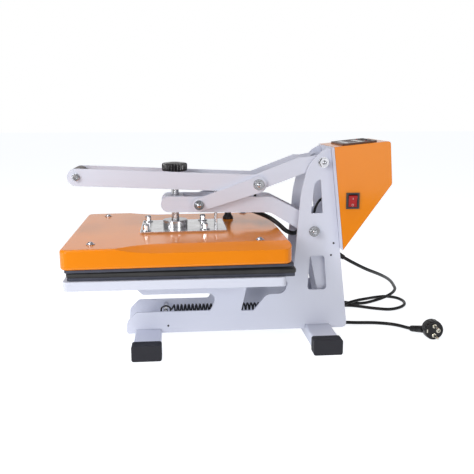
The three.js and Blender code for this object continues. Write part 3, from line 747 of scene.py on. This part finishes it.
def add_silicone_pad():
    """The silicone sponge sheet on the lower platen, with soft rolled edges."""
    x, y0, y1, z0, z1 = tray_box(*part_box("silicone_pad"))
    edge = [(1.6, 0.1), (0.5, 0.8), (0.1, 2.2), (0.1, 5.6), (0.5, 7), (1.6, 7.9), (3.4, 8.15)]
    edge.append((12, z1 - z0 - 0.02))
    rings = [rounded_ring(-x + inset, y0 + inset, x - inset, y1 - inset, 7, z0 + up) for inset, up in edge]
    pad = piece("silicone_sheet", gather(slab(rings)), SILICONE, "stand")
    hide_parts("silicone_pad")


WOOL_FLOOR = 8.3  # above the bottom of the platen
WOOL_LOW = 0.8  # its lower and upper faces, above that floor
WOOL_HIGH = 13.4
WOOL_MARGIN = 3
WOOL_CELLS = 40


def add_wool():
    """The blanket of ceramic wool inside the cover, with a ragged, matted surface."""
    x, y0, y1, _, _ = tray_box(*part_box("insulation"))
    chance = random.Random(7)
    mesh = bpy.data.meshes.new("wool")
    soft = bmesh.new()
    bmesh.ops.create_grid(soft, x_segments=WOOL_CELLS, y_segments=WOOL_CELLS, size=1)
    middle, half = (y0 + y1) / 2, (y1 - y0) / 2
    for v in soft.verts:
        v.co = Vector((v.co.x * (x - WOOL_MARGIN), middle + v.co.y * (half - WOOL_MARGIN), 0))
    walls = bmesh.ops.extrude_face_region(soft, geom=soft.faces[:])
    upper = {v for v in walls["geom"] if isinstance(v, bmesh.types.BMVert)}
    for v in soft.verts:
        across = v.co.x + chance.uniform(-1, 1)
        along = v.co.y + chance.uniform(-1, 1)
        rise = (WOOL_HIGH if v in upper else WOOL_LOW) + chance.uniform(-0.7, 0.7)
        tilted = Matrix.Rotation(PLATEN_TILT, 3, "X") @ Vector((across, along, rise))
        v.co = at(tilted.x, tilted.y, PLATEN_BOTTOM + WOOL_FLOOR + tilted.z)
    bmesh.ops.recalc_face_normals(soft, faces=soft.faces)
    soft.to_mesh(mesh)
    soft.free()
    blanket = piece("wool_blanket", mesh, WOOL, "platen")
    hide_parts("insulation")


def add_grip():
    """Foam rubber sleeve with rolled ends and a slightly fuller middle."""
    low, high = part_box("grip_sleeve")
    half = high.x / MM
    end = [(0.2, 7), (0.2, GRIP_RADIUS - 2.5), (0.9, GRIP_RADIUS - 1), (2.4, GRIP_RADIUS - 0.3)]
    profile = end[:]
    steps = 22
    for i in range(steps + 1):
        share = i / steps
        swell = 0.25 * math.sin(math.pi * share) - 0.25
        rib = 0.12 * math.cos(share * math.pi * steps)
        profile.append((4 + (2 * half - 8) * share, GRIP_RADIUS + swell + rib))
    profile += [(2 * half - along, radius) for along, radius in reversed(end)]
    middle = (low + high) / 2
    place = Vector((low.x, middle.y, middle.z))
    solid = turned(profile, place, (1, 0, 0), 40)
    grip = piece("foam_sleeve", gather(solid), GRIP, "handle")
    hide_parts("grip_sleeve")


# ---------------------------------------------------------------- bolts, screws and small parts
def on_cover(x, y, z):
    """A point in the platen's own tilted frame, in millimetres."""
    tilted = Matrix.Rotation(PLATEN_TILT, 3, "X") @ Vector((x, y, z))
    return at(tilted.x, tilted.y, PLATEN_BOTTOM + tilted.z)


def cover_up():
    """The direction straight up from the cover."""
    return Matrix.Rotation(PLATEN_TILT, 3, "X") @ Vector((0, 0, 1))


OUTER_FACE = 45 * MM  # a bolt's end further out than this shows


def add_bolt_ends():
    """The rounded thread ends that stand out of the hexagons, and the sockets in the grip rod's ends."""
    thread = [(-0.4, 4.2), (0.6, 4.2), (0.7, 3.9), (1.1, 4.2), (1.2, 3.9), (1.6, 4.1)]
    thread += [(2.3, 3.2), (2.6, 1.2)]
    groups = {
        "stand": (["handle_pivot_bolt", "arm_pivot_bolt"], "pivot_bolt_ends"),
        "arm": (["link_bolt_right", "link_bolt_left"], "link_bolt_ends"),
        "links": (["knee_bolt_right", "knee_bolt_left"], "knee_bolt_ends"),
    }
    for body, (names, title) in groups.items():
        solids = []
        for name in names:
            low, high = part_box(name)
            middle = (low + high) / 2
            for face, way in ((high.x, 1), (low.x, -1)):
                if face * way > OUTER_FACE:
                    solids.append(turned(thread, Vector((face, middle.y, middle.z)), (way, 0, 0), 20))
        piece(title, gather(*solids), STEEL, body)
    low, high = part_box("grip_rod")
    middle = (low + high) / 2
    socket = [(-0.3, 6.7), (0.5, 6.7), (1.0, 6.2), (1.1, 3.3), (-0.4, 3.1)]
    solids = [
        turned(socket, Vector((face, middle.y, middle.z)), (way, 0, 0), 24)
        for face, way in ((high.x, 1), (low.x, -1))
    ]
    piece("grip_rod_ends", gather(*solids), STEEL, "handle")


def add_cover_screws():
    """Four dome screws with washers on the cover, and domes and washers on the mount plate's studs."""
    dome = [(0, 7.2), (0.3, 7.6), (1.1, 7.6), (1.2, 5.2), (2.6, 5), (3.9, 3.9), (4.7, 2.2), (4.8, 1.3)]
    dome.append((3.8, 1.2))
    solids = [
        turned(dome, on_cover(x, y, 35.1), cover_up(), 28)
        for x, y in ((148, -146), (-148, -146), (148, 148.5), (-148, 148.5))
    ]
    piece("cover_screws", gather(*solids), STEEL, "platen")
    washer = [(0.1, 6.2), (0.1, 9.2), (1.5, 9.4), (1.7, 9.0), (1.9, 6.2)]
    cap = [(-0.6, 6.15), (0.2, 6.1), (1.5, 5.3), (2.4, 3.6), (2.8, 1.4)]
    solids = []
    for x in (-50, 50):
        for y in (-55, 55.5):
            solids.append(turned(washer, on_cover(x, y, 38.4), cover_up(), 28))
            solids.append(turned(cap, on_cover(x, y, 48.9), cover_up(), 28))
    piece("stud_caps", gather(*solids), TURNED, "platen")


def add_plate_screws():
    """Small dark screws in each side plate: two at the rear edge, one under the tray, one by the foot."""
    head = [(0, 1.6), (0.05, 2.1), (0.5, 1.9), (0.7, 0.9), (0.3, 0.8)]
    solids = []
    for x, y, z in ((45, 307, 193), (45, 302.4, 169.2), (45, 20, 137), (45, -18, 34)):
        for way in (-1, 1):
            solids.append(turned(head, at(x * way, y, z), (way, 0, 0), 18))
    piece("frame_screws", gather(*solids), SPRING_STEEL, "stand")


def add_knee_stop():
    """Adjustable stop between the arm plates: cross plate, threaded bolt, and rubber tip under the knee."""
    _, y0, y1, bottom, _ = tray_box(*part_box("knee_spacer"))
    y = (y0 + y1) / 2 - 2
    top = bottom - 0.8
    plate = slab([rounded_ring(-30.2, y - 9, 30.2, y + 9, 2, z, 2) for z in (265, 268.5)])
    bolt = [(0, 2.6), (0, 2.9)]
    for turn in range(16):
        bolt += [(1 + turn * 1.4, 2.9), (1.7 + turn * 1.4, 2.55)]
    bolt += [(24, 2.9)]
    nut = [(0, 5.0), (4, 5.0)]
    solids = [plate, turned(bolt, at(0, y, 262), (0, 0, 1), 16)]
    solids += [turned(nut, at(0, y, z), (0, 0, 1), 6) for z in (268.5, 261)]
    piece("knee_stop_bolt", gather(*solids), SPRING_STEEL, "arm")
    tip = [(0, 2.6), (0.3, 4.4), (top - 287.5, 4.4), (top - 286.4, 3.6), (top - 286, 2)]
    rubber = turned(tip, at(0, y, 286), (0, 0, 1), 20)
    piece("knee_stop_tip", gather(rubber), RUBBER, "arm")


def on_rocker(out, across, up):
    """A point on the rocker's tilted face, in millimetres from its middle, and that far out of the face."""
    hollow = 4.4 + 1.8 * abs(up) / 10.9
    tilted = Matrix.Rotation(ROCKER_TILT, 3, "Y") @ Vector((hollow + out, 0, up))
    return at(ROCKER_PIVOT.x + tilted.x, ROCKER_PIVOT.y + across, ROCKER_PIVOT.z + tilted.z)


def add_switch_marks():
    """The on and off signs of a mains switch, printed on the two halves of the rocker."""
    under, over = -0.1, 0.2
    corners = [(-0.5, 3.4), (0.5, 3.4), (0.5, 7.2), (-0.5, 7.2)]
    on_sign = [on_rocker(out, across, up) for out in (under, over) for across, up in corners]
    steps, outer, inner, middle = 28, 2.2, 1.5, -7.4
    off_sign = []
    for angle in turns(steps):
        for out, radius in ((under, outer), (over, outer), (over, inner), (under, inner)):
            off_sign.append(on_rocker(out, radius * math.cos(angle), middle + radius * math.sin(angle)))
    signs = (on_sign, loft_faces(2, len(corners))), (off_sign, loop_faces(steps, 4))
    piece("switch_marks", gather(*signs), MARK, "rocker")


KNOB_FLUTES = 24
# Height, radius and depth of the flutes, from the collar up to the middle of the cap.
KNOB_PROFILE = [
    (0, 12.6, 0), (0.6, 13.4, 0), (6.2, 13.4, 0), (6.3, 21.6, 0.3), (6.6, 22.6, 1.0), (7.6, 23.0, 1.3),
    (11, 23.1, 1.3), (15, 23.15, 1.3), (18.6, 23.0, 1.3), (20.4, 22.5, 1.0), (21.3, 21.4, 0.4),
    (21.7, 19.8, 0), (22.4, 15, 0), (22.6, 10.4, 0), (22.1, 9.8, 0), (22.2, 8.8, 0), (23.1, 8.2, 0),
    (23.4, 4, 0),
]


def add_knob():
    """Fluted barrel with rolled edges, a collar under it, a shallow crown and a smooth cap in its middle."""
    low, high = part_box("knob")
    middle = (low + high) / 2
    sides = KNOB_FLUTES * 8
    points = []
    for up, radius, depth in KNOB_PROFILE:
        for angle in turns(sides):
            ridge = math.cos(KNOB_FLUTES * angle)
            size = (radius + depth * (1.0 if ridge > 0 else 1.5) * ridge) * MM
            x, y = middle.x + size * math.cos(angle), middle.y + size * math.sin(angle)
            points.append(Vector((x, y, low.z + up * MM)))
    faces = loft_faces(len(KNOB_PROFILE), sides)
    knob = piece("fluted_knob", gather((points, faces)), KNOB, "spindle")
    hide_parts("knob")


def on_panel(x, y, z):
    """A point on the control box's sloping top, in millimetres from its front edge."""
    tilted = Matrix.Rotation(BOX_TOP_SLOPE, 3, "X") @ Vector((x, y, z))
    return at(tilted.x, tilted.y + BOX_TOP_FRONT, tilted.z + BOX_TOP_HEIGHT)


SEGMENT_Z = 2.85  # height of the segments above the box's top
SEGMENT_THICK = 0.25


def bar(x0, x1, y0, y1):
    """A thin raised bar with pointed ends on the panel."""
    cx, cy = (x0 + x1) / 2, (y0 + y1) / 2
    wide, tall = (x1 - x0) / 2, (y1 - y0) / 2
    point = min(wide, tall)
    if wide > tall:
        outline = [(-wide, 0), (-wide + point, -tall), (wide - point, -tall)]
        outline += [(wide, 0), (wide - point, tall), (-wide + point, tall)]
    else:
        outline = [(0, -tall), (wide, -tall + point), (wide, tall - point)]
        outline += [(0, tall), (-wide, tall - point), (-wide, -tall + point)]
    heights = (SEGMENT_Z, SEGMENT_Z + SEGMENT_THICK)
    points = [on_panel(cx + x, cy + y, z) for z in heights for x, y in outline]
    return points, loft_faces(2, len(outline))


def add_display_segments():
    """Unlit seven-segment digits behind the display window, and two indicator lamps."""
    half, tall, thick, foot = 4, 8, 0.8, 39
    solids = []
    for x in (-27, -13, 7, 21):
        for y in (foot, foot + tall, foot + 2 * tall):
            solids.append(bar(x - half + 1, x + half - 1, y - thick, y + thick))
        for side in (x - half, x + half):
            for y in (foot, foot + tall):
                solids.append(bar(side - thick, side + thick, y + 1, y + tall - 1))
    piece("display_segments", gather(*solids), SEGMENT, "stand")
    dome = [(0, 1.6), (0.7, 1.5), (1.1, 0.8)]
    lamps = [turned(dome, on_panel(x, 69.5, 3.0), (0, -BOX_TOP_SLOPE, 1), 16) for x in (-33, 33)]
    piece("indicator_lamps", gather(*lamps), RED, "stand")


bpy.context.scene.view_settings.view_transform = "Standard"
add_camera()
add_cord()
add_floor()
add_surroundings()
add_lights()
dress_cad_nodes()
add_spring()
add_heater_lead()
add_gland()
add_silicone_pad()
add_wool()
add_grip()
add_bolt_ends()
add_cover_screws()
add_plate_screws()
add_knee_stop()
add_switch_marks()
add_knob()
add_display_segments()
